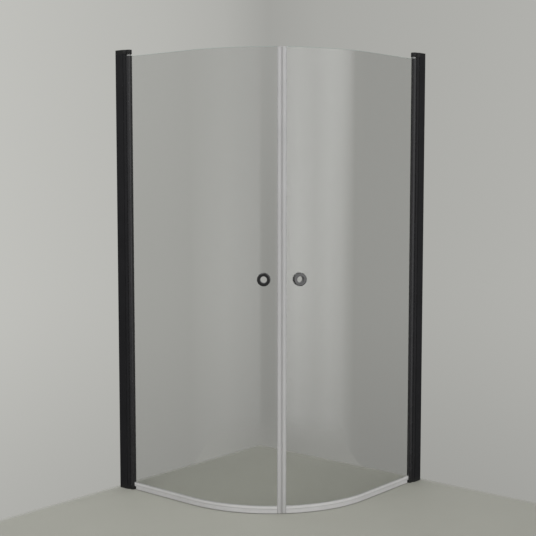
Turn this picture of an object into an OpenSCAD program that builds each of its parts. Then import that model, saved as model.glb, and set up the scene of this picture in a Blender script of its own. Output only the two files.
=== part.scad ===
// Corner shower enclosure with two curved glass doors.
// Each door hangs in a black profile on its own wall and swings outwards and
// inwards, and the two doors meet in the middle of the curved front.
// The room corner is at the back left, at (-side_length / 2, side_length / 2).
// The left side is drawn, and the right side is its mirror image.

/* [Enclosure] */
// Length along each wall, from the room corner to the outer face of the profile
side_length = 1000; // [850:10:1200]
// Height above the floor
height = 2000; // [1700:10:2200]
// Radius of the curved front, at the outer face of the glass
front_radius = 532; // [450:1:560]

/* [Glass] */
// Thickness of the glass
glass_t = 6; // [5:0.5:8]
// Height of the lower edge of the glass above the floor
glass_bottom = 25; // [22:0.5:32]
// Distance of the top of the glass below the top of the door tube
glass_drop = 2; // [0:0.5:4]

/* [Wall profile] */
// Width of the profile along the wall
profile_w = 40; // [36:1:48]
// Depth of the wall profile, from the wall to its mouth
profile_depth = 47; // [42:1:60]
// Wall thickness of the wall profile
profile_wall = 2; // [1.6:0.1:2.4]
// Diameter of the holes for the wall screws
wall_hole_d = 5.2; // [4:0.1:6]
// Height of the lowest wall hole, and distance of the highest one from the top
wall_hole_end = 100; // [80:10:200]
// Number of wall holes in each profile
wall_holes = 4; // [4:1:6]

/* [Hinge profile] */
// Wall thickness of the hinge profile
hinge_wall = 1.8; // [1.4:0.1:2.2]
// Space behind the hinge profile for lining it up on a crooked wall
adjust_room = 12; // [8:1:14]
// Distance of the hinge axis in front of the mouth of the wall profile
axis_reach = 19; // [18:0.5:22]
// Diameter of the ports that take the block screws
port_d = 3.4; // [3:0.1:3.8]
// Wall thickness round a screw port
port_wall = 1.9; // [1.4:0.1:2.2]
// Distance of the screw ports in front of the back of the hinge profile
port_inset = 10; // [7:0.5:12]

/* [Lock screws] */
// Number of screws that lock the hinge profile in each wall profile
lock_screws_n = 3; // [2:1:5]
// Height of the lowest lock screw, and distance of the highest one from the top
lock_screw_end = 150; // [120:10:250]
// Diameter of the shank of a screw
screw_d = 3.2; // [2.5:0.1:3.4]
// Length of a lock screw below its head
lock_screw_len = 8; // [6:0.5:10]
// Diameter of the head of a screw
screw_head_d = 7.2; // [6.5:0.1:8]
// Height of the head of a lock screw
screw_head_h = 2.4; // [1.8:0.1:3]
// Width across the flats of the driver recess
driver_w = 2.5; // [2:0.1:3]

/* [Hinge blocks] */
// Height of the bottom block
bottom_block_h = 16; // [14:1:20]
// Height of the top block
top_block_h = 19; // [18:1:26]
// Length of the tongue of a block inside the hinge profile
tongue_len = 25; // [15:1:40]
// Length of a block screw below the outer face of its block
block_screw_len = 38; // [30:1:60]
// Diameter of the hinge pins
pin_d = 6; // [4:0.5:6.5]
// Depth of a hinge pin in its block
pin_seat = 13; // [9:0.5:13.5]
// Depth of a hinge pin in the door tube
pin_reach = 22; // [15:1:40]

/* [Door tube] */
// Diameter of the tube that holds the glass
tube_d = 27; // [26:0.5:30]
// Wall thickness of the tube
tube_wall = 1.8; // [1.4:0.1:2.2]
// Depth of the glass groove
groove_depth = 8; // [7:0.1:8.2]
// Thickness of the glazing gasket on each face of the glass
gasket_t = 1.1; // [0.8:0.1:1.4]
// Thickness of the glazing gasket under the edge of the glass
gasket_floor = 0.8; // [0.5:0.1:1.2]
// How far the lips of the glazing gasket stand out of the tube, along the glass
gasket_lip = 6; // [2:0.5:8]

/* [Bushes] */
// Wall thickness of the bush sleeves
bush_wall = 1.35; // [1:0.05:1.4]
// Diameter of the collar on the top bush
collar_d = 19; // [18:0.5:24]
// Height of the collar on the top bush
collar_h = 7.5; // [4:0.5:10]
// Diameter of the flange on the bottom bush
flange_d = 24; // [20:0.5:25]
// Thickness of the flange on the bottom bush
flange_h = 1.7; // [1.2:0.1:3]

/* [Magnet seals] */
// Width of a seal, from the meeting line to its back edge
seal_w = 19; // [17:0.5:24]
// Thickness of the legs that grip the glass
seal_leg = 1.2; // [1:0.1:1.6]
// Distance from the meeting line to the shoulders of the tapered nose
nose_len = 4.2; // [4:0.1:4.8]
// Width of the flat at the tip of the nose
nose_flat = 0.3; // [0.2:0.1:0.4]
// Distance of the glass from the meeting line
glass_end = 8.6; // [8:0.1:10]
// Width of the magnet, across the door
magnet_w = 5.2; // [4:0.1:5.4]
// Depth of the magnet, along the door
magnet_t = 3; // [2:0.1:3.2]
// Distance of the ends of the magnet from the ends of the seal
magnet_inset = 3; // [1:0.5:10]

/* [Bottom seals] */
// Height of the top of the bottom seal above the floor
sweep_top = 35; // [33:0.5:40]
// Height of the wiper tips above the floor
sweep_tip = 3; // [2:0.5:8]
// Height of the web that carries the wipers above the floor
sweep_web = 17.5; // [17:0.1:19]
// Thickness of the walls of the bottom seal
sweep_leg = 1.2; // [1:0.1:1.6]
// How far the wipers lean out at their tips
wiper_lean = 0.8; // [0.2:0.1:1.2]
// How far the inner wiper ends above the outer one
wiper_step = 3; // [0:0.5:5]
// Height of the groove between the two bands
band_groove = 2; // [0.8:0.1:2.4]
// Distance from the tube to the start of the wipers
wiper_start = 11; // [9:0.5:20]

/* [Ring grips] */
// Outer diameter of a ring grip
ring_d = 56; // [50:0.5:66]
// Diameter of the finger hole
finger_d = 28; // [24:0.5:30]
// Height of the middle of the grips above the floor
grip_z = 1006; // [900:1:1200]
// Distance of the middle of a grip from the meeting line, along the glass
grip_inset = 76; // [60:0.5:140]
// Thickness of the outer ring
ring_t = 11; // [8:0.5:16]
// Thickness of the inner ring
ring_back_t = 10; // [8:0.5:16]
// Radius of the rounded outer rim
rim_r = 3; // [1.5:0.25:4]
// Radius of the rounded edge of the finger hole
lip_r = 1.5; // [0.5:0.25:2]
// Wall thickness of the threaded sleeve on the outer ring
sleeve_wall = 2; // [1.5:0.1:2.5]
// How far the sleeve stops short of the face of the inner ring
sleeve_short = 3; // [2:0.5:4]
// Thickness of the bush in the hole through the glass
grip_bush_t = 1.2; // [0.8:0.1:1.6]
// Thickness of the pad under the outer ring, at its middle
outer_pad_t = 0.8; // [0.6:0.1:1.5]
// Thickness of the pad under the inner ring, at its middle
inner_pad_t = 1.6; // [1.5:0.1:2.5]
// How far the pads lie inside the rim of the rings
pad_inset = 1.5; // [1:0.5:3]

/* [Clearances] */
// Gap between the hinge profile and the wall profile
slide_gap = 0.3; // [0.2:0.05:0.5]
// Gap between the door tube and the hinge profile round it
cradle_gap = 0.4; // [0.3:0.05:0.6]
// Gap between a turning face and the fixed face next to it
running_gap = 0.3; // [0.2:0.05:0.4]
// Radial clearance of a pin in its bush
pin_gap = 0.05; // [0.02:0.01:0.1]
// Clearance of a piece that is pushed or screwed into another
seat_gap = 0.05; // [0.03:0.01:0.1]
// Clearance of a soft seal on the glass
grip_gap = 0.1; // [0.05:0.01:0.2]
// Gap between the tips of the two magnet seals
meeting_gap = 0.6; // [0.5:0.05:0.8]

/* [Hidden] */
$fn = 96;
arc_fn = 360;
pad_steps = 24;

black = [0.09, 0.09, 0.09];
rubber_black = [0.05, 0.05, 0.05];
steel = [0.62, 0.63, 0.65];
white = [0.9, 0.9, 0.88];
clear = [0.78, 0.86, 0.84, 0.35];
frosted = [0.82, 0.82, 0.8, 0.9];
magnet_brown = [0.25, 0.22, 0.2];

// Room corner and hinge axis of the left side
half = side_length / 2;
axis_u = profile_depth + axis_reach;
axis_w = profile_w / 2;
axis_x = axis_u - half;
axis_y = axis_w - half;

// Heights
profile_z0 = bottom_block_h;
profile_z1 = height - top_block_h;
tube_z0 = profile_z0 + running_gap + flange_h;
tube_z1 = profile_z1 - running_gap - collar_h;
glass_z1 = tube_z1 - glass_drop;

// Radii
tube_r = tube_d / 2;
cradle_r = tube_r + cradle_gap;
pin_r = pin_d / 2;
bush_bore_r = pin_r + pin_gap;
bush_r = bush_bore_r + bush_wall;
tube_bore_r = bush_r + seat_gap;
groove_u = tube_r - groove_depth;
groove_half = glass_t / 2 + gasket_t;

// Plan of the door: straight from the hinge axis, then a 45 degree arc about (-arc_c, arc_c)
door_r = front_radius - glass_t / 2;
arc_c = door_r + axis_w - half;
glass_start = groove_u + seat_gap + gasket_floor + grip_gap;

// Hinge profile: half widths outside and inside, and the radius behind the cradle. Its lips
// end at these angles about the hinge axis, clear of the door at either end of its swing.
hinge_half = profile_w / 2 - profile_wall - slide_gap;
hollow_half = hinge_half - hinge_wall;
cradle_back_r = cradle_r + hinge_wall;
lip_outer_angle = -118;
lip_inner_angle = 103;

// Screw ports, which sink a little into the side walls, and lock screws
port_blend = 0.2;
port_r = port_d / 2 + port_wall;
port_u = adjust_room + port_inset;
port_w = hollow_half - port_r + port_blend;
lock_u = (port_u + profile_depth) / 2;
head_cone_h = (screw_head_d - screw_d) / 2;

// How far a cut runs past the face that it leaves, and a joined solid into its neighbour
cut = 1;

// Grips
ring_r = ring_d / 2;
finger_r = finger_d / 2;
sleeve_r = finger_r + sleeve_wall;
grip_hole_r = sleeve_r + 2 * seat_gap + grip_bush_t + grip_gap;
pad_r = ring_r - pad_inset;
outer_seat = glass_t / 2 + outer_pad_t;
inner_seat = glass_t / 2 + inner_pad_t;

// Angle on the arc that a length along the door takes up
function arc_angle(len) = len / door_r * 180 / PI;

// Point at a distance and an angle from the hinge axis, in profile coordinates
function round_axis(r, a) = [axis_u + r * cos(a), axis_w + r * sin(a)];

// Heights of count things between two limits
function spread(count, z0, z1) = [for (i = [0:count - 1]) z0 + i * (z1 - z0) / (count - 1)];

// Profile coordinates: X away from the left wall, Y inwards from the outer face
module in_profile() translate([-half, -half, 0]) children();

module at_axis(z = 0) translate([axis_x, axis_y, z]) children();

module right_side() mirror([1, 1, 0]) children();

// Sweeps a section along the door. The section's X points out of the shower and its Y up.
// It starts at a distance from the hinge axis and ends at a distance from the meeting line.
module along_door(start, end) {
    translate([axis_x + start, axis_y, 0])
        rotate([90, 0, 90])
            linear_extrude(-arc_c - axis_x - start) mirror([1, 0]) children();
    translate([-arc_c, arc_c, 0])
        rotate([0, 0, -90])
            rotate_extrude(angle = 45 - arc_angle(end), $fn = arc_fn) translate([door_r, 0]) children();
}

// Local frame on the door at a distance from the meeting line: X out of the shower,
// Y along the door towards the meeting line
module on_door(back)
    translate([-arc_c, arc_c, 0]) rotate([0, 0, -45 - arc_angle(back)]) translate([door_r, 0, 0]) children();

// Frame of the grip: Z out of the shower along the finger hole
module at_grip() on_door(grip_inset) translate([0, 0, grip_z]) rotate([0, 90, 0]) children();

// Screw with a round head on the plane z = 0 and its shank pointing down
module pan_screw(len)
    difference() {
        union() {
            cylinder(d = screw_head_d, h = screw_head_h);
            translate([0, 0, -len]) cylinder(d = screw_d, h = len);
        }
        translate([0, 0, screw_head_h / 2]) cylinder(d = driver_w, h = screw_head_h, $fn = 6);
    }

// Screw with its flat head flush with the plane z = 0
module countersunk_screw(len)
    difference() {
        union() {
            translate([0, 0, -head_cone_h]) cylinder(d1 = screw_d, d2 = screw_head_d, h = head_cone_h);
            translate([0, 0, -len]) cylinder(d = screw_d, h = len - head_cone_h);
        }
        translate([0, 0, -head_cone_h / 2]) cylinder(d = driver_w, h = head_cone_h, $fn = 6);
    }

// Hole for such a screw, cut from the plane z = 0
module countersink(len) {
    narrow = screw_d + 4 * seat_gap;
    wide = screw_head_d + 4 * seat_gap;
    translate([0, 0, -head_cone_h]) cylinder(d1 = narrow, d2 = wide, h = head_cone_h);
    translate([0, 0, -len]) cylinder(d = narrow, h = len);
    cylinder(d = wide, h = cut);
}

// Places its child over both screw ports
module at_ports() for (side = [-1, 1]) translate([port_u, axis_w + side * port_w, 0]) children();

// Plan of the hinge profile without its hollow, from a given back and half width
module nose_section(back, half_w)
    polygon([
        [back, axis_w - half_w], [profile_depth, axis_w - half_w],
        round_axis(cradle_back_r, lip_outer_angle), [axis_u, axis_w], round_axis(cradle_back_r, lip_inner_angle),
        [profile_depth, axis_w + half_w], [back, axis_w + half_w],
    ]);

// Plan of the hollow, before the cradle wall and the screw ports are left standing in it
module hollow_section() {
    back = adjust_room + hinge_wall;
    shoulder_u = profile_depth + axis_reach / 3;
    shoulder_half = hollow_half - hinge_wall;
    polygon([
        [back, axis_w - hollow_half], [profile_depth, axis_w - hollow_half],
        [shoulder_u, axis_w - shoulder_half], [shoulder_u, axis_w + shoulder_half],
        [profile_depth, axis_w + hollow_half], [back, axis_w + hollow_half],
    ]);
}

module hinge_section()
    difference() {
        nose_section(adjust_room, hinge_half);
        translate([axis_u, axis_w]) circle(cradle_r);
        difference() {
            hollow_section();
            translate([axis_u, axis_w]) circle(cradle_back_r);
            at_ports() circle(port_r);
        }
        at_ports() circle(d = port_d);
    }

module wall_profile() {
    z_holes = spread(wall_holes, wall_hole_end, height - wall_hole_end);
    z_locks = spread(lock_screws_n, lock_screw_end, height - lock_screw_end);
    color(black) in_profile() difference() {
        translate([0, 0, profile_z0]) cube([profile_depth, profile_w, profile_z1 - profile_z0]);
        translate([profile_wall, profile_wall, profile_z0 - cut])
            cube([profile_depth, profile_w - 2 * profile_wall, profile_z1 - profile_z0 + 2 * cut]);
        for (z = z_holes)
            translate([-cut, axis_w, z])
                rotate([0, 90, 0]) cylinder(d = wall_hole_d, h = profile_wall + 2 * cut);
        for (z = z_locks)
            translate([lock_u, profile_w - profile_wall - cut, z])
                rotate([-90, 0, 0]) cylinder(d = screw_d + 2 * seat_gap, h = profile_wall + 2 * cut);
    }
}

module hinge_profile() {
    z_locks = spread(lock_screws_n, lock_screw_end, height - lock_screw_end);
    color(black) in_profile() difference() {
        translate([0, 0, profile_z0]) linear_extrude(profile_z1 - profile_z0) hinge_section();
        for (z = z_locks)
            translate([lock_u, axis_w, z])
                rotate([-90, 0, 0]) cylinder(d = screw_d + 2 * seat_gap, h = profile_w / 2);
    }
}

// End block, drawn with its outer face at z = 0 and its tongue pointing down
module end_block(block_h) {
    tongue_u = port_u + port_r + slide_gap;
    tongue_half = hollow_half - slide_gap;
    difference() {
        union() {
            translate([0, 0, -block_h]) linear_extrude(block_h) {
                nose_section(0, axis_w);
                translate([axis_u, axis_w]) circle(tube_r);
            }
            translate([tongue_u, axis_w - tongue_half, -block_h - tongue_len])
                cube([profile_depth - tongue_u, 2 * tongue_half, tongue_len + cut]);
        }
        translate([axis_u, axis_w, -block_h - cut]) cylinder(r = pin_r + seat_gap, h = pin_seat + cut);
        at_ports() countersink(block_h + cut);
    }
}

module top_block() color(black) in_profile() translate([0, 0, height]) end_block(top_block_h);

module bottom_block()
    color(black) in_profile() mirror([0, 0, 1]) end_block(bottom_block_h);

module top_pin()
    color(steel) at_axis(tube_z1 - pin_reach)
        cylinder(r = pin_r, h = profile_z1 - tube_z1 + pin_reach + pin_seat - running_gap);

module bottom_pin()
    color(steel) at_axis(profile_z0 - pin_seat + running_gap)
        cylinder(r = pin_r, h = tube_z0 - profile_z0 + pin_reach + pin_seat - running_gap);

module block_screws()
    color(steel) in_profile() {
        translate([0, 0, height]) at_ports() countersunk_screw(block_screw_len);
        mirror([0, 0, 1]) at_ports() countersunk_screw(block_screw_len);
    }

module lock_screws()
    color(steel) in_profile()
        for (z = spread(lock_screws_n, lock_screw_end, height - lock_screw_end))
            translate([lock_u, profile_w, z]) rotate([-90, 0, 0]) pan_screw(lock_screw_len);

module door_tube() {
    tube_h = tube_z1 - tube_z0;
    color(black) at_axis(tube_z0) linear_extrude(tube_h) difference() {
        circle(tube_r);
        circle(tube_bore_r);
        translate([groove_u, -groove_half]) square([tube_r, 2 * groove_half]);
        difference() {
            circle(tube_r - tube_wall);
            circle(tube_bore_r + tube_wall);
            translate([-tube_wall, -tube_r]) square(2 * tube_r);
        }
    }
}

module top_bush()
    color(white) at_axis(tube_z1) difference() {
        union() {
            cylinder(d = collar_d, h = collar_h);
            translate([0, 0, -pin_reach]) cylinder(r = bush_r, h = pin_reach + cut);
        }
        translate([0, 0, -pin_reach - cut]) cylinder(r = bush_bore_r, h = pin_reach + collar_h + 2 * cut);
    }

module bottom_bush()
    color(black) at_axis(tube_z0) difference() {
        union() {
            translate([0, 0, -flange_h]) cylinder(d = flange_d, h = flange_h);
            translate([0, 0, -flange_h]) cylinder(r = bush_r, h = pin_reach + flange_h);
        }
        translate([0, 0, -flange_h - cut]) cylinder(r = bush_bore_r, h = pin_reach + flange_h + 2 * cut);
    }

// Channel of soft rubber between the glass and the groove of the tube. Above the bottom seal
// its lips stand out of the tube.
module glazing_gasket() {
    out_half = groove_half - seat_gap;
    in_half = glass_t / 2 + seat_gap;
    start = groove_u + seat_gap;
    lip_z0 = sweep_top + running_gap;
    color(rubber_black) at_axis() difference() {
        union() {
            translate([start, -out_half, tube_z0]) cube([tube_r - start, 2 * out_half, tube_z1 - tube_z0]);
            translate([start, -out_half, lip_z0])
                cube([tube_r + gasket_lip - start, 2 * out_half, tube_z1 - lip_z0]);
        }
        translate([start + gasket_floor, -in_half, tube_z0 - cut])
            cube([tube_r + gasket_lip, 2 * in_half, tube_z1 - tube_z0 + 2 * cut]);
    }
}

module glass()
    color(clear) difference() {
        along_door(glass_start, glass_end)
            translate([-glass_t / 2, glass_bottom]) square([glass_t, glass_z1 - glass_bottom]);
        at_grip() translate([0, 0, -2 * glass_t]) cylinder(r = grip_hole_r, h = 4 * glass_t);
    }

// Plan of a magnet seal: X out of the shower, Y the distance back from the meeting line
module magnet_seal_section() {
    in_half = glass_t / 2 + grip_gap;
    out_half = in_half + seal_leg;
    floor_y = glass_end - grip_gap;
    difference() {
        polygon([
            [-nose_flat / 2, meeting_gap / 2], [nose_flat / 2, meeting_gap / 2],
            [out_half, nose_len], [out_half, seal_w], [-out_half, seal_w], [-out_half, nose_len],
        ]);
        translate([-in_half, floor_y]) square([2 * in_half, seal_w]);
        magnet_plan(grip_gap);
    }
}

// Plan of the magnet, or of its chamber when room is left round it
module magnet_plan(room = 0) {
    magnet_y = glass_end - seal_leg - magnet_t - 2 * grip_gap;
    translate([-magnet_w / 2 - room, magnet_y - room]) square([magnet_w + 2 * room, magnet_t + 2 * room]);
}

module magnet_seal() {
    mid = (glass_end + seal_w) / 2;
    color(frosted) on_door(mid) translate([0, mid, sweep_tip]) mirror([0, 1, 0])
        linear_extrude(glass_z1 - sweep_tip) magnet_seal_section();
}

module magnet() {
    mid = (glass_end + seal_w) / 2;
    len = glass_z1 - sweep_tip - 2 * magnet_inset;
    color(magnet_brown) on_door(mid) translate([0, mid, sweep_tip + magnet_inset])
        mirror([0, 1, 0]) linear_extrude(len) magnet_plan();
}

// Section of the bottom seal above its wipers: a channel on the glass over a hollow web
module sweep_body() {
    in_half = glass_t / 2 + grip_gap;
    out_half = in_half + sweep_leg;
    floor_z = glass_bottom - grip_gap;
    base_z = sweep_web - sweep_leg;
    difference() {
        translate([-out_half, base_z]) square([2 * out_half, sweep_top - base_z]);
        translate([-in_half, floor_z]) square([2 * in_half, sweep_top]);
        translate([-in_half, sweep_web]) square([2 * in_half, floor_z - sweep_leg - sweep_web]);
        for (side = [-1, 1])
            translate([side * out_half - sweep_leg / 2, floor_z - sweep_leg - 2 * band_groove])
                square([sweep_leg, band_groove]);
    }
}

// Section of the two wipers under the web
module sweep_wipers() {
    out_half = glass_t / 2 + grip_gap + sweep_leg;
    for (side = [-1, 1])
        let (tip = sweep_tip + (side > 0 ? 0 : wiper_step))
            polygon([
                [side * (out_half - sweep_leg), sweep_web - sweep_leg / 2],
                [side * out_half, sweep_web - sweep_leg / 2],
                [side * (out_half + wiper_lean), tip],
                [side * (out_half + wiper_lean - sweep_leg / 2), tip],
            ]);
}

module bottom_seal()
    color(frosted) {
        along_door(tube_r + running_gap, seal_w + running_gap) sweep_body();
        along_door(tube_r + wiper_start, seal_w + running_gap) sweep_wipers();
    }

// Section of a ring grip: X from the finger hole's axis, Y away from the glass
module ring_section(thick) {
    translate([finger_r + lip_r, 0]) square([ring_r - finger_r - lip_r - rim_r, thick]);
    translate([finger_r, 0]) square([ring_r - finger_r, thick - max(lip_r, rim_r)]);
    translate([finger_r, 0]) square([lip_r + rim_r, thick - lip_r]);
    translate([finger_r + lip_r, thick - lip_r]) circle(lip_r);
    translate([ring_r - rim_r, thick - rim_r]) circle(rim_r);
}

module grip_outer() {
    sleeve_len = outer_seat + inner_seat + ring_back_t - sleeve_short;
    color(black) at_grip() rotate_extrude() {
        translate([0, outer_seat]) ring_section(ring_t);
        translate([finger_r, outer_seat - sleeve_len]) square([sleeve_wall, sleeve_len + cut]);
    }
}

module grip_inner()
    color(black) at_grip() mirror([0, 0, 1]) rotate_extrude() difference() {
        translate([0, inner_seat]) ring_section(ring_back_t);
        translate([0, inner_seat - cut])
            square([sleeve_r + seat_gap, ring_back_t - sleeve_short + cut + seat_gap]);
    }

module grip_bush()
    color(rubber_black) at_grip() difference() {
        translate([0, 0, -glass_t / 2]) cylinder(r = grip_hole_r - grip_gap, h = glass_t);
        translate([0, 0, -glass_t]) cylinder(r = sleeve_r + seat_gap, h = 2 * glass_t);
    }

// Plan of a pad between the flat back of a ring and the curved glass, in the frame of on_door.
// It lies between the plane x = seat and the arc of radius r about the middle of the front.
module pad_plan(seat, r) {
    sweep = asin(ring_r / r);
    polygon(concat(
        [[seat, ring_r], [seat, -ring_r]],
        [for (i = [0:pad_steps]) let (a = sweep * (2 * i / pad_steps - 1)) [r * cos(a) - door_r, r * sin(a)]]
    ));
}

module grip_pad(seat, r)
    intersection() {
        on_door(grip_inset) translate([0, 0, grip_z - ring_r]) linear_extrude(2 * ring_r) pad_plan(seat, r);
        at_grip() difference() {
            translate([0, 0, -ring_r]) cylinder(r = pad_r, h = 2 * ring_r);
            translate([0, 0, -ring_d]) cylinder(r = grip_hole_r - grip_gap, h = 2 * ring_d);
        }
    }

module grip_outer_pad() color(rubber_black) grip_pad(outer_seat, door_r + glass_t / 2 + seat_gap);

module grip_inner_pad() color(rubber_black) grip_pad(-inner_seat, door_r - glass_t / 2 - seat_gap);

wall_profile();  // left_wall_profile
hinge_profile();  // left_hinge_profile
top_block();  // left_top_block
bottom_block();  // left_bottom_block
top_pin();  // left_top_pin
bottom_pin();  // left_bottom_pin
block_screws();  // left_block_screws
lock_screws();  // left_lock_screws
door_tube();  // left_door_tube
top_bush();  // left_top_bush
bottom_bush();  // left_bottom_bush
glazing_gasket();  // left_glazing_gasket
glass();  // left_glass
magnet_seal();  // left_magnet_seal
magnet();  // left_magnet
bottom_seal();  // left_bottom_seal
grip_outer();  // left_grip_outer
grip_inner();  // left_grip_inner
grip_bush();  // left_grip_bush
grip_outer_pad();  // left_grip_outer_pad
grip_inner_pad();  // left_grip_inner_pad
right_side() wall_profile();  // right_wall_profile
right_side() hinge_profile();  // right_hinge_profile
right_side() top_block();  // right_top_block
right_side() bottom_block();  // right_bottom_block
right_side() top_pin();  // right_top_pin
right_side() bottom_pin();  // right_bottom_pin
right_side() block_screws();  // right_block_screws
right_side() lock_screws();  // right_lock_screws
right_side() door_tube();  // right_door_tube
right_side() top_bush();  // right_top_bush
right_side() bottom_bush();  // right_bottom_bush
right_side() glazing_gasket();  // right_glazing_gasket
right_side() glass();  // right_glass
right_side() magnet_seal();  // right_magnet_seal
right_side() magnet();  // right_magnet
right_side() bottom_seal();  // right_bottom_seal
right_side() grip_outer();  // right_grip_outer
right_side() grip_inner();  // right_grip_inner
right_side() grip_bush();  // right_grip_bush
right_side() grip_outer_pad();  // right_grip_outer_pad
right_side() grip_inner_pad();  // right_grip_inner_pad
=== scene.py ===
"""Looks of a corner shower enclosure with two curved glass doors.

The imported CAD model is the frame. Its metal, plastic and rubber nodes keep their shape and get
their finish here. The glass and the soft seals are made again with a fine mesh and soft edges.
Lengths are in millimetres until a mesh is made. Each piece is drawn for the left door, and the
right one is its mirror image, with x and y swapped and turned round.
"""

import math

import bpy
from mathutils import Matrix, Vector
from mathutils.geometry import tessellate_polygon


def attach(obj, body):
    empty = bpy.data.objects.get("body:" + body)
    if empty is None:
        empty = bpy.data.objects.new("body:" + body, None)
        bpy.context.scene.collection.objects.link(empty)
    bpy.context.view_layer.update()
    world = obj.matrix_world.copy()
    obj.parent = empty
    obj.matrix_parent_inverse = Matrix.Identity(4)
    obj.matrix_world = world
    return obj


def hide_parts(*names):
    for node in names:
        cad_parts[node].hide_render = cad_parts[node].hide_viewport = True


MM = 0.001

# Path of the left door in plan, along the middle of the glass: straight from the hinge axis,
# then an arc to the meeting line
AXIS_X, AXIS_Y = -434.0, -480.0
ARC_X, ARC_Y, ARC_R = -49.0, 49.0, 529.0
STRAIGHT = ARC_X - AXIS_X
MEETING = STRAIGHT + ARC_R * math.pi / 4

# Glass
GLASS_HALF = 3.0
GLASS_START = 6.45
GLASS_GAP = 8.6  # from the meeting line to its edge
GLASS_END = MEETING - GLASS_GAP
GLASS_Z0, GLASS_Z1 = 25.0, 1971.2
ARRIS = 1.0  # width of the ground bevel along every edge
COLUMN_PITCH, ROW_PITCH = 5.0, 200.0  # most that its faces measure, along the door and upwards

# Hole for the ring grip
HOLE_S, HOLE_Z, HOLE_R = MEETING - 76.0, 1006.0, 17.4
PATCH = 30.0  # half side of the square round the hole whose faces follow it
PATCH_CELLS = 12
PATCH_RINGS = 5

# Seals
SEAL_Z0 = 3.0
SLOT_HALF, SEAL_HALF = 3.1, 4.3  # half widths of the slot for the glass and of the whole seal
LEG_SLOPE = 2.5  # length over which a leg slopes down to its end on the glass

# A meeting seal, in distances from the meeting line
NOSE_TIP, NOSE = 0.3, 4.2  # tip and shoulders of the nose
NOSE_TIP_HALF = 0.15
MAGNET_CHAMBER = (4.1, 7.3)
CHAMBER_HALF = 2.7
MAGNET_TO = 7.6  # the magnet shows through the seal up to here
SLOT_FROM = 8.5
THIN_FROM = 15.2  # the glass shows through the legs from here
SEAL_BACK = 19.0
SEAL_END = 0.4  # height of the first and last slice of the seal

# A floor seal, in heights above the floor, and in lengths along the door
CHANNEL_Z0, CHANNEL_SLOT_Z0, FLOOR_SEAL_TOP = 16.3, 24.9, 35.0
CHANNEL_HOLLOW = (17.6, 23.6)
HOLLOW_HALF = 2.3
GROOVE_Z0, GROOVE_Z1 = 19.2, 22.0  # between its two bands
GROOVE_DEPTH = 1.3
WIPER_ROOT, WIPER_THICK, WIPER_TIP_THICK = 16.9, 1.2, 0.6
WIPER_LEAN = 0.8
WIPER_STEP = 3.0  # how much higher the inner wiper ends
FLOOR_SEAL_START, WIPER_START, FLOOR_SEAL_END = 13.8, 24.5, MEETING - 19.3
FLOOR_SEAL_PITCH = 5.0

# Modifiers on CAD nodes, with angles in degrees
WELD_DISTANCE = 0.01
CRISP_ANGLE = 35  # edges sharper than this stay sharp
FLAT_ANGLE = 0.5  # faces flatter than this are joined
BEVEL_ANGLE = 40  # edges sharper than this are softened

MILKY_TINT = (1.01, 1.0, 0.997)

# The studio round the object: azimuth, from the -Y side (0) towards +X (90), and the brightness
# there below and above eye level. Its heights are in degrees above the horizon.
STUDIO = [
    (-180, 0.5, 0.5), (-70, 0.35, 0.6), (-46, 0.36, 0.65), (-30, 0.75, 0.85), (-5, 1.26, 1.25),
    (20, 1.36, 1.52), (28.5, 1.28, 1.5), (31.5, 0.42, 1.32), (44, 0.4, 1.35), (52, 2.4, 2.55),
    (66, 3.0, 3.0), (83, 2.15, 2.45), (99, 2.4, 2.85), (112, 1.75, 2.4), (121, 0.8, 1.6),
    (130, 0.2, 0.4), (150, 0.3, 0.3), (180, 0.5, 0.5),
]
STUDIO_TOP = 3.0  # brightness at the top of the ramps' scale
EYE_LEVEL = (-6, 8)  # heights between which the first brightness turns into the second
LOW_FADE, LOW_SHARE = (-22, -2), 0.16  # below eye level it darkens to this share
DOME_FROM = (22, 45)  # heights between which it turns into the dome overhead
DOME_HEIGHTS, DOME_LIGHT = (-10, 80), (0.42, 0.95)

# Shade of the plain wall behind the object, from the left of the view (0) to its right (1). It
# is darkest in the middle, as a room corner is, and darkens a little towards the floor.
WALL = [(0.0, 0.53), (0.3, 0.47), (0.42, 0.43), (0.5, 0.36), (0.6, 0.395), (1.0, 0.44)]
WALL_TINT = (1.0, 1.0, 0.95)
WALL_FADE, WALL_FOOT = (-20, -5), 0.81

# The floor, in metres
FLOOR_MIDDLE = (0.3, -0.35, 0.0)
FLOOR_FADE = (1.05, 2.1)  # distances from its middle at which it starts to fade and has gone
WALL_X, WALL_Y = -0.5, 0.5  # planes of the two walls
CORNER_FADE = (-0.01, 0.04)  # distances behind them at which it starts to fade and has gone
FLOOR_RINGS, FLOOR_SPOKES = 24, 96

# Camera, fitted to the photograph, with angles in degrees
CAMERA_AT = (3177.5, -3792.3, 1432.1)
CAMERA_AZIMUTH = 40.185
CAMERA_DOWN = 4.81
CAMERA_LENS = 72.16


# ---------------------------------------------------------------- shapes


def on_door(s, n, z):
    """Point at a length s along the left door, n out of the shower and a height z."""
    if s <= STRAIGHT:
        return AXIS_X + s, AXIS_Y - n, z
    angle = (s - STRAIGHT) / ARC_R - math.pi / 2
    r = ARC_R + n
    return ARC_X + r * math.cos(angle), ARC_Y + r * math.sin(angle), z


def mirrored(point):
    """The point on the right door that matches one on the left door."""
    x, y, z = point
    return -y, -x, z


def spaced(start, end, pitch):
    """Numbers from start to end, at most a pitch apart."""
    count = max(1, math.ceil((end - start) / pitch - 1e-6))
    return [start + (end - start) * i / count for i in range(count + 1)]


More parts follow.
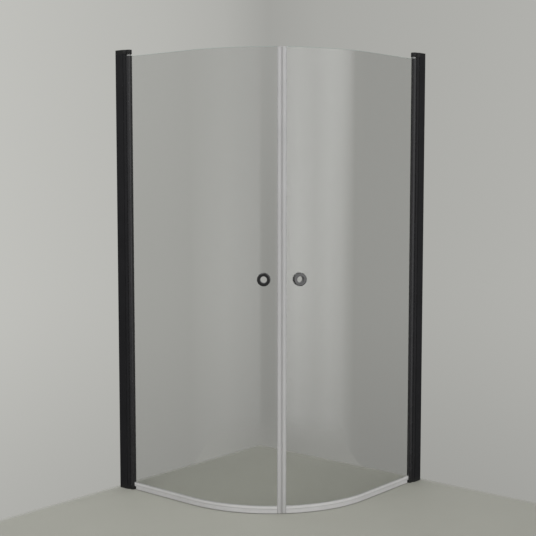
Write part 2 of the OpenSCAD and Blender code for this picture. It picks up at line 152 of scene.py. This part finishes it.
def add_piece(name, side, points, faces, crease=30):
    """Makes a mesh from points in millimetres on the left side, and hangs it on its door."""
    if side == "right":
        points = [mirrored(p) for p in points]
        faces = [tuple(reversed(f)) for f in faces]
    mesh = bpy.data.meshes.new(name)
    mesh.from_pydata([Vector(p) * MM for p in points], [], faces)
    mesh.validate()
    mesh.shade_smooth()
    mesh.set_sharp_from_angle(angle=math.radians(crease))
    piece = bpy.data.objects.new(name, mesh)
    bpy.context.scene.collection.objects.link(piece)
    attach(piece, side + "_door")
    return piece


def rounded(corners):
    """Closed outline through corners (u, v, radius), in order, each rounded by its radius."""
    steps = 4
    outline = []
    for i, (u, v, radius) in enumerate(corners):
        corner = Vector((u, v))
        if not radius:
            outline.append(corner)
            continue
        to_last = (Vector(corners[i - 1][:2]) - corner).normalized()
        to_next = (Vector(corners[(i + 1) % len(corners)][:2]) - corner).normalized()
        half = to_last.angle(to_next) / 2
        reach = radius / math.tan(half)
        centre = corner + (to_last + to_next).normalized() * (radius / math.sin(half))
        first, last = corner + to_last * reach, corner + to_next * reach
        turn = (first - centre).angle_signed(last - centre)
        for k in range(steps + 1):
            swing = -turn * k / steps
            c, s = math.cos(swing), math.sin(swing)
            arm = first - centre
            outline.append(centre + Vector((arm.x * c - arm.y * s, arm.x * s + arm.y * c)))
    return [(p.x, p.y) for p in outline]


def hollow(half, start, end):
    """Outline of a hollow with straight sides, clockwise."""
    return [(-half, start), (-half, end), (half, end), (half, start)]


def swept(outlines, stations, place):
    """Points and faces of a section swept through stations. The first outline runs
    anticlockwise round the section, as seen from its end, and the others are its hollows,
    clockwise."""
    flat = [p for outline in outlines for p in outline]
    points = [place(u, v, at) for at in stations for u, v in flat]
    faces = []
    start = 0
    for outline in outlines:
        count = len(outline)
        for k in range(len(stations) - 1):
            here, there = start + k * len(flat), start + (k + 1) * len(flat)
            for i in range(count):
                j = (i + 1) % count
                faces.append((here + j, here + i, there + i, there + j))
        start += count
    cap = tessellate_polygon([[Vector((u, v, 0)) for u, v in o] for o in outlines])
    end = (len(stations) - 1) * len(flat)
    for a, b, c in cap:
        (au, av), (bu, bv), (cu, cv) = flat[a], flat[b], flat[c]
        if (bu - au) * (cv - av) - (bv - av) * (cu - au) < 0:
            b, c = c, b
        faces.append((a, b, c))
        faces.append((end + c, end + b, end + a))
    return points, faces


def glass_pane(side):
    """The curved pane, with ground bevels along its edges and round the hole."""
    columns = (
        spaced(GLASS_START, HOLE_S - PATCH, COLUMN_PITCH)
        + spaced(HOLE_S - PATCH, HOLE_S + PATCH, 2 * PATCH / PATCH_CELLS)[1:]
        + spaced(HOLE_S + PATCH, GLASS_END, COLUMN_PITCH)[1:]
    )
    rows = (
        spaced(GLASS_Z0, HOLE_Z - PATCH, ROW_PITCH)
        + spaced(HOLE_Z - PATCH, HOLE_Z + PATCH, 2 * PATCH / PATCH_CELLS)[1:]
        + spaced(HOLE_Z + PATCH, GLASS_Z1, ROW_PITCH)[1:]
    )
    last_col, last_row = len(columns) - 1, len(rows) - 1
    col0 = columns.index(HOLE_S - PATCH)
    row0 = rows.index(HOLE_Z - PATCH)
    col1, row1 = col0 + PATCH_CELLS, row0 + PATCH_CELLS
    rim = (
        [(i, row0) for i in range(col0, col1)]
        + [(col1, j) for j in range(row0, row1)]
        + [(i, row1) for i in range(col1, col0, -1)]
        + [(col0, j) for j in range(row1, row0, -1)]
    )
    outside = (
        [(i, 0) for i in range(last_col)]
        + [(last_col, j) for j in range(last_row)]
        + [(i, last_row) for i in range(last_col, 0, -1)]
        + [(0, j) for j in range(last_row, 0, -1)]
    )
    points, faces = [], []

    def add(s, z, n):
        points.append(on_door(s, n, z))
        return len(points) - 1

    def grid_point(i, j, n, inset):
        s = columns[i] + inset * ((i == 0) - (i == last_col))
        z = rows[j] + inset * ((j == 0) - (j == last_row))
        return add(s, z, n)

    def hole_point(i, j, n, inset, share=0.0):
        """Point at a share of the way from the hole to the rim of the patch."""
        s, z = columns[i] - HOLE_S, rows[j] - HOLE_Z
        reach = math.hypot(s, z)
        scale = (1 - share) * (HOLE_R + inset) / reach + share
        return add(HOLE_S + s * scale, HOLE_Z + z * scale, n)

    def skin(n, outwards):
        """One face of the pane. It returns the loops that its bevels start from."""
        at = {}
        for i in range(last_col + 1):
            for j in range(last_row + 1):
                if not (col0 < i < col1 and row0 < j < row1):
                    at[i, j] = grid_point(i, j, n, ARRIS)
        rings = [
            [hole_point(i, j, n, ARRIS, k / PATCH_RINGS) for i, j in rim]
            for k in range(PATCH_RINGS)
        ]
        rings.append([at[c] for c in rim])
        patches = [
            (at[i, j], at[i + 1, j], at[i + 1, j + 1], at[i, j + 1])
            for i in range(last_col)
            for j in range(last_row)
            if not (col0 <= i < col1 and row0 <= j < row1)
        ]
        for inner, outer in zip(rings, rings[1:]):
            for k in range(len(rim)):
                m = (k + 1) % len(rim)
                patches.append((outer[k], outer[m], inner[m], inner[k]))
        faces.extend(patches if outwards else [tuple(reversed(p)) for p in patches])
        return [at[c] for c in outside], rings[0]

    def join(first, second):
        """Faces between two loops, the first nearer the outer face of the pane."""
        for k in range(len(first)):
            m = (k + 1) % len(first)
            faces.append((first[m], first[k], second[k], second[m]))

    out_edge, out_hole = skin(GLASS_HALF, True)
    flat = GLASS_HALF - ARRIS
    edges = [out_edge] + [[grid_point(i, j, n, 0) for i, j in outside] for n in (flat, -flat)]
    holes = [out_hole] + [[hole_point(i, j, n, 0) for i, j in rim] for n in (flat, -flat)]
    in_edge, in_hole = skin(-GLASS_HALF, False)
    ground_from = len(faces)
    for first, second in zip(edges, edges[1:] + [in_edge]):
        join(first, second)
    for first, second in zip(holes, holes[1:] + [in_hole]):
        join(second, first)

    pane = add_piece(side + "_pane", side, points, faces, crease=20)
    for finish in ("clear_glass", "ground_edge"):
        pane.data.materials.append(FINISHES[finish])
    for face in pane.data.polygons[ground_from:]:
        face.material_index = 1
    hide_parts(side + "_glass")


def meeting_seal(side):
    """The magnet seal on the meeting edge: soft corners, and legs that thin out on the glass."""
    half = [
        (NOSE_TIP_HALF, NOSE_TIP, 0), (SEAL_HALF, NOSE, 1.0), (SEAL_HALF, MAGNET_TO, 0),
        (SEAL_HALF, THIN_FROM, 0), (SEAL_HALF, SEAL_BACK - LEG_SLOPE, 0.8),
        (SLOT_HALF + 0.35, SEAL_BACK, 0.15), (SLOT_HALF, SEAL_BACK, 0), (SLOT_HALF, SLOT_FROM, 0.3),
    ]
    outline = rounded(half + [(-n, back, radius) for n, back, radius in reversed(half)])
    chamber = hollow(CHAMBER_HALF, *MAGNET_CHAMBER)

    # Its section is square to the glass halfway along its slot
    middle = (GLASS_GAP + SEAL_BACK) / 2
    ax, ay, _ = on_door(MEETING - middle, 0, 0)
    ox, oy, _ = on_door(MEETING - middle, 1, 0)
    out = Vector((ox - ax, oy - ay))
    along = Vector((-out.y, out.x))  # towards the meeting line

    def place(n, back, z):
        x, y = Vector((ax, ay)) + out * n + along * (middle - back)
        return x, y, z

    slices = [SEAL_Z0, SEAL_Z0 + SEAL_END, GLASS_Z1 - SEAL_END, GLASS_Z1]
    points, faces = swept([outline, chamber], slices, place)
    seal = add_piece(side + "_meeting_seal", side, points, faces)
    for finish in ("seal_plastic", "seal_nose", "seal_leg"):
        seal.data.materials.append(FINISHES[finish])
    for face in seal.data.polygons:
        # The doors meet in the plane x + y = 0
        back = abs(face.center.x + face.center.y) / math.sqrt(2) / MM
        if abs(face.normal.z) < 0.5:
            face.material_index = 1 if back < MAGNET_TO else 2 if back > THIN_FROM else 0
    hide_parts(side + "_magnet_seal")


def floor_seal(side):
    """The seal under the glass: two soft bands with a groove between them, over two wipers."""

    def body_side(sign):
        """Outer side of the channel, from its foot to its top, on one side of the glass."""
        slot, tip = SLOT_HALF * sign, (SLOT_HALF + 0.4) * sign
        band, groove = SEAL_HALF * sign, (SEAL_HALF - GROOVE_DEPTH) * sign
        return [
            (band, CHANNEL_Z0, 0.3), (band, GROOVE_Z0, 0.35), (groove, GROOVE_Z0, 0.1),
            (groove, GROOVE_Z1, 0.1), (band, GROOVE_Z1, 0.35),
            (band, FLOOR_SEAL_TOP - LEG_SLOPE, 0.5), (tip, FLOOR_SEAL_TOP, 0.15),
            (slot, FLOOR_SEAL_TOP, 0), (slot, CHANNEL_SLOT_Z0, 0.2),
        ]

    def wiper(sign, tip):
        """A thin leaning wiper, with a rounded tip."""
        root, foot = SEAL_HALF * sign, (SEAL_HALF + WIPER_LEAN) * sign
        corners = [
            (root - WIPER_THICK * sign, WIPER_ROOT, 0), (foot - WIPER_TIP_THICK * sign, tip, 0.2),
            (foot, tip, 0.2), (root, WIPER_ROOT, 0),
        ]
        return rounded(corners if sign > 0 else corners[::-1])

    def along(start, outlines):
        stations = spaced(start, FLOOR_SEAL_END, FLOOR_SEAL_PITCH)
        return swept(outlines, stations, lambda n, z, s: on_door(s, n, z))

    body = rounded(body_side(1) + body_side(-1)[::-1])
    points, faces = [], []
    for part_points, part_faces in (
        along(FLOOR_SEAL_START, [body, hollow(HOLLOW_HALF, *CHANNEL_HOLLOW)]),
        along(WIPER_START, [wiper(1, SEAL_Z0)]),
        along(WIPER_START, [wiper(-1, SEAL_Z0 + WIPER_STEP)]),
    ):
        faces += [tuple(len(points) + i for i in f) for f in part_faces]
        points += part_points
    seal = add_piece(side + "_floor_seal", side, points, faces)
    # Both bands are painted lighter than the same plastic of the meeting seals, the lower band a
    # little less: painted light.
    for finish in ("floor_band_painted_light", "seal_nose", "lower_band", "seal_leg"):
        seal.data.materials.append(FINISHES[finish])
    # The groove between the bands takes the darker nose plastic: painted shade in the groove.
    for face in seal.data.polygons:
        height = face.center.z / MM
        if height > FLOOR_SEAL_TOP - LEG_SLOPE:
            face.material_index = 3
        elif abs(face.normal.z) < 0.5:
            face.material_index = 0 if height > GROOVE_Z1 else 1 if height > GROOVE_Z0 else 2
    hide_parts(side + "_bottom_seal")


def weld(node):
    """Joins the doubled vertices of a CAD node. They stay, and the modifiers work on a copy."""
    node.modifiers.new("weld", "WELD").merge_threshold = WELD_DISTANCE * MM


def crisp(node):
    """Shades a CAD node's flat faces flat and its rounded edges round."""
    weld(node)
    node.modifiers.new("split", "EDGE_SPLIT").split_angle = math.radians(CRISP_ANGLE)
    node.modifiers.new("crisp", "WEIGHTED_NORMAL").keep_sharp = True


def soften(node, width):
    """Small rounded edges on a CAD node."""
    weld(node)
    merge = node.modifiers.new("merge", "DECIMATE")
    merge.decimate_type = "DISSOLVE"
    merge.angle_limit = math.radians(FLAT_ANGLE)
    bevel = node.modifiers.new("soften", "BEVEL")
    bevel.width = width * MM
    bevel.segments = 2
    bevel.limit_method = "ANGLE"
    bevel.angle_limit = math.radians(BEVEL_ANGLE)
    bevel.harden_normals = True
    bevel.use_clamp_overlap = True


# ---------------------------------------------------------------- finishes


def calculate(tree, operation, *values):
    """Result of a math node. Its values are numbers or the outputs of other nodes."""
    node = tree.nodes.new("ShaderNodeMath")
    node.operation = operation
    for socket, value in zip(node.inputs, values):
        if isinstance(value, (int, float)):
            socket.default_value = value
        else:
            tree.links.new(value, socket)
    return node.outputs[0]


def smooth(tree, value, span, low=0.0, high=1.0):
    """Goes smoothly from low to high as a value crosses a span."""
    node = tree.nodes.new("ShaderNodeMapRange")
    node.interpolation_type = "SMOOTHSTEP"
    node.inputs["From Min"].default_value, node.inputs["From Max"].default_value = span
    node.inputs["To Min"].default_value = low
    node.inputs["To Max"].default_value = high
    tree.links.new(value, node.inputs["Value"])
    return node.outputs["Result"]


def blend(tree, first, second, share):
    """The first value, turning into the second as a share goes from 0 to 1."""
    return calculate(
        tree, "ADD",
        calculate(tree, "MULTIPLY", first, calculate(tree, "SUBTRACT", 1, share)),
        calculate(tree, "MULTIPLY", second, share),
    )


def grey_scale(tree, place, stops):
    """Colour ramp of greys, each given as (place, level), in order."""
    node = tree.nodes.new("ShaderNodeValToRGB")
    elements = node.color_ramp.elements
    for at, _ in stops[1:-1]:
        elements.new(at)
    for element, (at, level) in zip(elements, stops):
        element.position = at
        element.color = (level, level, level, 1)
    tree.links.new(place, node.inputs["Fac"])
    return node.outputs["Color"]


class Finish:
    """A material with one Principled shader, and short calls for the nodes that feed it."""

    def __init__(self, name, colour, roughness, **values):
        self.material = bpy.data.materials.new(name)
        self.material.use_nodes = True
        self.tree = self.material.node_tree
        self.shader = self.tree.nodes["Principled BSDF"]
        self.output = self.tree.nodes["Material Output"]
        self.shader.inputs["Base Color"].default_value = (*colour, 1)
        self.shader.inputs["Roughness"].default_value = roughness
        for socket, value in values.items():
            self.shader.inputs[socket.replace("_", " ")].default_value = value
        self.place = self.tree.nodes.new("ShaderNodeTexCoord").outputs["Object"]

    def link(self, out, into):
        self.tree.links.new(out, into)

    def stretched(self, scale):
        """Object coordinates, scaled along each axis."""
        node = self.tree.nodes.new("ShaderNodeMapping")
        node.inputs["Scale"].default_value = scale
        self.link(self.place, node.inputs["Vector"])
        return node.outputs["Vector"]

    def noise(self, scale, detail, vector=None):
        """Noise with so many cells to a metre."""
        node = self.tree.nodes.new("ShaderNodeTexNoise")
        node.inputs["Scale"].default_value = scale
        node.inputs["Detail"].default_value = detail
        self.link(vector or self.place, node.inputs["Vector"])
        return node.outputs["Fac"]

    def worn(self, fac, low, high):
        """Roughness from one value to another, by a pattern."""
        node = self.tree.nodes.new("ShaderNodeMapRange")
        node.inputs["From Min"].default_value = 0.3
        node.inputs["From Max"].default_value = 0.7
        node.inputs["To Min"].default_value = low
        node.inputs["To Max"].default_value = high
        self.link(fac, node.inputs["Value"])
        self.link(node.outputs["Result"], self.shader.inputs["Roughness"])

    def tinted(self, fac, dark, light):
        """Base colour from one colour to another, by a pattern."""
        node = self.tree.nodes.new("ShaderNodeValToRGB")
        node.color_ramp.elements[0].position = 0.3
        node.color_ramp.elements[0].color = (*dark, 1)
        node.color_ramp.elements[1].position = 0.7
        node.color_ramp.elements[1].color = (*light, 1)
        self.link(fac, node.inputs["Fac"])
        self.link(node.outputs["Color"], self.shader.inputs["Base Color"])

    def relief(self, height, depth, last=None):
        """Bumps of a depth in millimetres. Layers are chained through last."""
        node = self.tree.nodes.new("ShaderNodeBump")
        node.inputs["Strength"].default_value = 1.0
        node.inputs["Distance"].default_value = depth * MM
        self.link(height, node.inputs["Height"])
        if last is not None:
            self.link(last, node.inputs["Normal"])
        self.link(node.outputs["Normal"], self.shader.inputs["Normal"])
        return node.outputs["Normal"]


def grey(value, tint=(1.0, 1.0, 1.0)):
    return tuple(value * t for t in tint)


def anodised_extrusion():
    """Matt black profiles: a fine etched grain, and faint lines along the extrusion."""
    f = Finish("matt_black_profile", grey(0.009, (1, 0.99, 1.1)), 0.5, Specular_IOR_Level=0.16)
    lines = f.noise(1.0, 2.0, f.stretched((900, 900, 3)))
    grain = f.noise(1400, 2.0)
    f.tinted(f.noise(9, 4.0), grey(0.0082, (1, 0.99, 1.1)), grey(0.0106, (1, 0.99, 1.1)))
    f.worn(f.noise(40, 4.0), 0.46, 0.56)
    f.relief(grain, 0.025, f.relief(lines, 0.03))
    return f.material


def anodised_tube():
    """The round tube, smoother than the profiles, with drawing lines along it."""
    f = Finish("black_tube", grey(0.015, (1.0, 0.98, 1.05)), 0.26, Specular_IOR_Level=0.26)
    lines = f.noise(1.0, 3.0, f.stretched((1500, 1500, 4)))
    f.tinted(f.noise(14, 3.0), grey(0.0127, (1, 0.98, 1.06)), grey(0.0173, (1, 0.98, 1.06)))
    f.worn(f.noise(30, 3.0), 0.23, 0.3)
    f.relief(lines, 0.01)
    return f.material


def moulded_plastic(name, value, depth=0.04):
    """Black moulded plastic with a fine eroded grain."""
    f = Finish(name, grey(value), 0.55, Specular_IOR_Level=0.2)
    f.tinted(f.noise(120, 3.0), grey(value * 0.85), grey(value * 1.15))
    f.worn(f.noise(25, 3.0), 0.5, 0.62)
    f.relief(f.noise(900, 3.0), depth)
    return f.material


def ground_steel(name, colour, roughness):
    """Steel with fine grinding lines round it."""
    f = Finish(name, colour, roughness, Metallic=1.0)
    rings = f.noise(1.0, 2.0, f.stretched((30, 30, 4000)))
    f.worn(f.noise(200, 3.0), roughness * 0.85, roughness * 1.2)
    f.relief(rings, 0.004)
    return f.material


def turned_acetal():
    """White bushes, with the fine rings of turning."""
    # The acetal is white, but its colour here is a mid grey: painted shade for the gap under the
    # block where the bushes sit.
    f = Finish(
        "white_acetal_painted_shade", (0.24, 0.24, 0.235), 0.38, Subsurface_Weight=0.15, Subsurface_Scale=0.002,
        Subsurface_Radius=(1.0, 1.0, 1.0),
    )
    f.tinted(f.noise(60, 3.0), (0.228, 0.228, 0.223), (0.252, 0.252, 0.247))
    f.relief(f.noise(1.0, 1.0, f.stretched((10, 10, 2500))), 0.01)
    return f.material


def soft_rubber():
    """Matt black rubber of the gaskets and pads."""
    f = Finish("black_rubber", grey(0.02), 0.6, Specular_IOR_Level=0.35)
    f.tinted(f.noise(80, 4.0), grey(0.017), grey(0.023))
    f.relief(f.noise(1600, 2.0), 0.03)
    return f.material


def bonded_magnet():
    """Brown-grey bonded ferrite, slightly speckled."""
    f = Finish("bonded_magnet", (0.16, 0.15, 0.14), 0.7)
    f.tinted(f.noise(500, 4.0), (0.13, 0.122, 0.115), (0.19, 0.18, 0.17))
    f.relief(f.noise(1500, 2.0), 0.03)
    return f.material


def milky_seal(name, value, cover=1.0):
    """Milky, slightly see-through soft plastic, with flow marks along the length. Where it is
    thin, the glass shows through it."""
    f = Finish(
        name, grey(value, MILKY_TINT), 0.4, Subsurface_Weight=0.25, Subsurface_Scale=0.004,
        Subsurface_Radius=(1.0, 1.0, 1.0), Specular_IOR_Level=0.4, Alpha=cover,
    )
    f.tinted(f.noise(6, 4.0), grey(value * 0.96, MILKY_TINT), grey(value * 1.04, MILKY_TINT))
    f.worn(f.noise(90, 3.0), 0.36, 0.48)
    f.relief(f.noise(1.0, 2.0, f.stretched((350, 350, 12))), 0.03)
    return f.material


def satin_grip():
    """Satin black metal of the ring grips, with the faint marks of turning and handling."""
    f = Finish("satin_black", grey(0.063), 0.12, Metallic=1.0)
    f.tinted(f.noise(70, 4.0), grey(0.059), grey(0.067))
    f.worn(f.noise(160, 4.0), 0.1, 0.15)
    f.relief(f.noise(1800, 2.0), 0.006)
    return f.material


def lets_lamps_through(finish, colour):
    """Shadow rays pass the surface, so that the lamps reach what is behind the glass."""
    nodes = finish.tree.nodes
    clear = nodes.new("ShaderNodeBsdfTransparent")
    clear.inputs["Color"].default_value = (*colour, 1)
    mix = nodes.new("ShaderNodeMixShader")
    path = nodes.new("ShaderNodeLightPath")
    finish.link(path.outputs["Is Shadow Ray"], mix.inputs["Fac"])
    finish.link(finish.shader.outputs["BSDF"], mix.inputs[1])
    finish.link(clear.outputs["BSDF"], mix.inputs[2])
    finish.link(mix.outputs["Shader"], finish.output.inputs["Surface"])


def clear_glass():
    """Clear toughened glass: a trace of green, and the slight waves that rollers leave."""
    # Its colour is greyer than clear glass: partly a trace of green, partly painted shade that
    # stands in for the shaded room behind the glass.
    f = Finish("clear_glass", (0.764, 0.768, 0.757), 0.0, IOR=1.5, Transmission_Weight=1.0)
    f.relief(f.noise(1.0, 1.0, f.stretched((5, 5, 3))), 0.12)
    lets_lamps_through(f, (0.87, 0.88, 0.865))
    return f.material


def ground_glass():
    """The ground edges of the pane, greener and duller than its faces."""
    f = Finish("ground_glass_edge", (0.42, 0.56, 0.5), 0.35, IOR=1.5, Transmission_Weight=0.6)
    f.relief(f.noise(1500, 2.0), 0.01)
    lets_lamps_through(f, (0.8, 0.88, 0.84))
    return f.material


# ---------------------------------------------------------------- surroundings


def height_of(tree, z):
    """Degrees above the horizon."""
    return calculate(tree, "MULTIPLY", calculate(tree, "ARCSINE", z), 180 / math.pi)


def studio_light(tree, x, y, z):
    """Brightness of the studio: an even dome overhead, and what stands round the object below."""
    azimuth = calculate(
        tree, "MULTIPLY",
        calculate(tree, "ARCTAN2", x, calculate(tree, "MULTIPLY", y, -1.0)), 180 / math.pi,
    )
    height = height_of(tree, z)
    turn = calculate(tree, "DIVIDE", calculate(tree, "ADD", azimuth, 180), 360)
    low, high = (
        grey_scale(tree, turn, [((stop[0] + 180) / 360, stop[k] / STUDIO_TOP) for stop in STUDIO])
        for k in (1, 2)
    )
    round_about = blend(tree, low, high, smooth(tree, height, EYE_LEVEL))
    eye_level = calculate(
        tree, "MULTIPLY", calculate(tree, "MULTIPLY", round_about, STUDIO_TOP),
        smooth(tree, height, LOW_FADE, LOW_SHARE, 1.0),
    )
    dome = smooth(tree, height, DOME_HEIGHTS, *DOME_LIGHT)
    return blend(tree, eye_level, dome, smooth(tree, height, DOME_FROM))


def wall_shade(tree, x, y, z):
    """Grey of the plain wall, by how far to the right of the photograph's view it is."""
    turn = math.radians(CAMERA_AZIMUTH)
    to_right = calculate(
        tree, "ADD",
        calculate(tree, "MULTIPLY", x, math.cos(turn)),
        calculate(tree, "MULTIPLY", y, math.sin(turn)),
    )
    place = calculate(tree, "ADD", calculate(tree, "MULTIPLY", to_right, 2), 0.5)
    darker = smooth(tree, height_of(tree, z), WALL_FADE, WALL_FOOT, 1.0)
    return calculate(tree, "MULTIPLY", grey_scale(tree, place, WALL), darker)


def world_light():
    """A soft studio with a wide bright window on the +X side, which the right door mirrors.
    The camera sees a plain wall colour instead, straight and through the glass."""
    world = bpy.data.worlds.new("studio")
    bpy.context.scene.world = world
    world.use_nodes = True
    tree = world.node_tree
    nodes, links = tree.nodes, tree.links
    nodes.clear()
    split = nodes.new("ShaderNodeSeparateXYZ")
    links.new(nodes.new("ShaderNodeTexCoord").outputs["Generated"], split.inputs[0])

    light, wall_light = nodes.new("ShaderNodeBackground"), nodes.new("ShaderNodeBackground")
    links.new(studio_light(tree, *split.outputs), light.inputs["Strength"])
    shade = wall_shade(tree, *split.outputs)
    wall = nodes.new("ShaderNodeCombineColor")
    for socket, tint in zip(wall.inputs, WALL_TINT):
        links.new(calculate(tree, "MULTIPLY", shade, tint), socket)
    links.new(wall.outputs["Color"], wall_light.inputs["Color"])

    # Through the glass the camera sees the wall too, but not in what the glass mirrors
    path = nodes.new("ShaderNodeLightPath")
    mirrored_once = calculate(tree, "MINIMUM", path.outputs["Glossy Depth"], 1)
    straight = calculate(tree, "SUBTRACT", path.outputs["Is Transmission Ray"], mirrored_once)
    seen = calculate(tree, "MAXIMUM", path.outputs["Is Camera Ray"], straight)
    mix = nodes.new("ShaderNodeMixShader")
    links.new(seen, mix.inputs[0])
    links.new(light.outputs[0], mix.inputs[1])
    links.new(wall_light.outputs[0], mix.inputs[2])
    links.new(mix.outputs[0], nodes.new("ShaderNodeOutputWorld").inputs["Surface"])


def pale_floor():
    """A plain floor that fades into the wall colour before it ends, and just beyond the two
    sides of the corner that the object stands in."""
    reach = FLOOR_FADE[1] + 0.1
    points = [(0.0, 0.0, 0.0)]
    faces = []
    for r in range(1, FLOOR_RINGS + 1):
        for k in range(FLOOR_SPOKES):
            angle, radius = 2 * math.pi * k / FLOOR_SPOKES, reach * r / FLOOR_RINGS
            points.append((radius * math.cos(angle), radius * math.sin(angle), 0.0))
    for k in range(FLOOR_SPOKES):
        m = (k + 1) % FLOOR_SPOKES
        faces.append((0, 1 + k, 1 + m))
        for r in range(FLOOR_RINGS - 1):
            inner, outer = 1 + r * FLOOR_SPOKES, 1 + (r + 1) * FLOOR_SPOKES
            faces.append((inner + k, outer + k, outer + m, inner + m))
    mesh = bpy.data.meshes.new("floor")
    mesh.from_pydata(points, [], faces)
    floor = bpy.data.objects.new("floor", mesh)
    floor.location = FLOOR_MIDDLE
    bpy.context.scene.collection.objects.link(floor)

    f = Finish("pale_floor", (0.355, 0.355, 0.315), 0.65, Specular_IOR_Level=0.2)
    f.tinted(f.noise(3, 4.0), (0.35, 0.35, 0.31), (0.36, 0.36, 0.32))
    distance = f.tree.nodes.new("ShaderNodeVectorMath")
    distance.operation = "LENGTH"
    f.link(f.place, distance.inputs[0])
    split = f.tree.nodes.new("ShaderNodeSeparateXYZ")
    f.link(f.place, split.inputs[0])
    x_fade = [WALL_X - FLOOR_MIDDLE[0] - d for d in CORNER_FADE]
    y_fade = [WALL_Y - FLOOR_MIDDLE[1] + d for d in CORNER_FADE]
    behind = calculate(
        f.tree, "MAXIMUM",
        smooth(f.tree, split.outputs["X"], x_fade),
        smooth(f.tree, split.outputs["Y"], y_fade),
    )
    far = smooth(f.tree, distance.outputs["Value"], FLOOR_FADE)
    gone = calculate(f.tree, "MAXIMUM", far, behind)
    clear = f.tree.nodes.new("ShaderNodeBsdfTransparent")
    mix = f.tree.nodes.new("ShaderNodeMixShader")
    f.link(gone, mix.inputs[0])
    f.link(f.shader.outputs[0], mix.inputs[1])
    f.link(clear.outputs[0], mix.inputs[2])
    f.link(mix.outputs[0], f.output.inputs["Surface"])
    mesh.materials.append(f.material)


def add_lamp(name, azimuth, elevation, distance, size, power):
    """An area lamp aimed at the middle of the enclosure. Azimuth 0 is on the -Y side."""
    lamp = bpy.data.lights.new(name, "AREA")
    lamp.shape = "DISK"
    lamp.size = size
    lamp.energy = power
    a, e = math.radians(azimuth), math.radians(elevation)
    towards = Vector((math.sin(a) * math.cos(e), -math.cos(a) * math.cos(e), math.sin(e)))
    lamp_object = bpy.data.objects.new(name, lamp)
    lamp_object.location = towards * distance + Vector((0, 0, 1.0))
    lamp_object.rotation_euler = towards.to_track_quat("Z", "Y").to_euler()
    bpy.context.scene.collection.objects.link(lamp_object)


def add_camera():
    """The camera of the photograph."""
    camera = bpy.data.cameras.new("camera")
    camera.lens = CAMERA_LENS
    camera.sensor_width = 36
    camera_object = bpy.data.objects.new("camera", camera)
    camera_object.location = Vector(CAMERA_AT) * MM
    camera_object.rotation_euler = (
        math.radians(90 - CAMERA_DOWN), 0, math.radians(CAMERA_AZIMUTH)
    )
    bpy.context.scene.collection.objects.link(camera_object)
    bpy.context.scene.camera = camera_object


# ---------------------------------------------------------------- the scene

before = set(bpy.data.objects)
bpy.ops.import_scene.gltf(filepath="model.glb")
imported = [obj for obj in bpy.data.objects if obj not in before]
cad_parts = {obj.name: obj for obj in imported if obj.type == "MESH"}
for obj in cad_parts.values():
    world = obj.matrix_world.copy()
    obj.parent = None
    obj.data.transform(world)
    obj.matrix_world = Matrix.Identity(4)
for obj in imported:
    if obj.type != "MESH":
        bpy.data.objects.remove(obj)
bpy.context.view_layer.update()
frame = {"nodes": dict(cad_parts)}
nodes = frame["nodes"]

# By the material slot of the CAD, with a few more for parts of the pieces made here
FINISHES = {
    "black_aluminium": anodised_extrusion(),
    "tube_aluminium": anodised_tube(),
    "black_plastic": moulded_plastic("black_end_block", 0.0095),
    "steel": ground_steel("ground_steel", (0.56, 0.57, 0.58), 0.28),
    "screw_steel": ground_steel("black_screw", (0.09, 0.09, 0.095), 0.38),
    "white_plastic": turned_acetal(),
    "black_rubber": soft_rubber(),
    "clear_glass": clear_glass(),
    "ground_edge": ground_glass(),
    "seal_plastic": milky_seal("milky_seal", 0.405),
    # Darker plastic where the magnet shows through the meeting seal, also used as painted shade in
    # the floor seal's groove.
    "seal_nose": milky_seal("milky_seal_over_magnet_and_groove_shade", 0.38),
    "seal_leg": milky_seal("milky_seal_leg", 0.405, 0.8),
    # The floor seal: the same plastic as the meeting seals, painted lighter in both bands as
    # painted light.
    "floor_band_painted_light": milky_seal("milky_floor_seal", 0.56),
    "lower_band": milky_seal("milky_lower_band", 0.5),
    "magnet_strip": bonded_magnet(),
    "grip_metal": satin_grip(),
    "grip_plastic": moulded_plastic("grip_bush_plastic", 0.02, 0.02),
}

for node in nodes.values():
    for place in node.material_slots:
        place.material = FINISHES[place.material.name.split(".")[0]]

for side in ("left", "right"):
    glass_pane(side)
    meeting_seal(side)
    floor_seal(side)
    for piece in ("wall_profile", "hinge_profile"):
        soften(nodes[f"{side}_{piece}"], 0.4)
    for piece in ("top_block", "bottom_block"):
        soften(nodes[f"{side}_{piece}"], 0.6)
    soften(nodes[f"{side}_glazing_gasket"], 0.5)
    for piece in ("grip_outer", "grip_inner"):
        crisp(nodes[f"{side}_{piece}"])

add_camera()
world_light()
pale_floor()
add_lamp("key", azimuth=5, elevation=52, distance=4.2, size=2.4, power=62)
bpy.context.scene.view_settings.view_transform = "Standard"
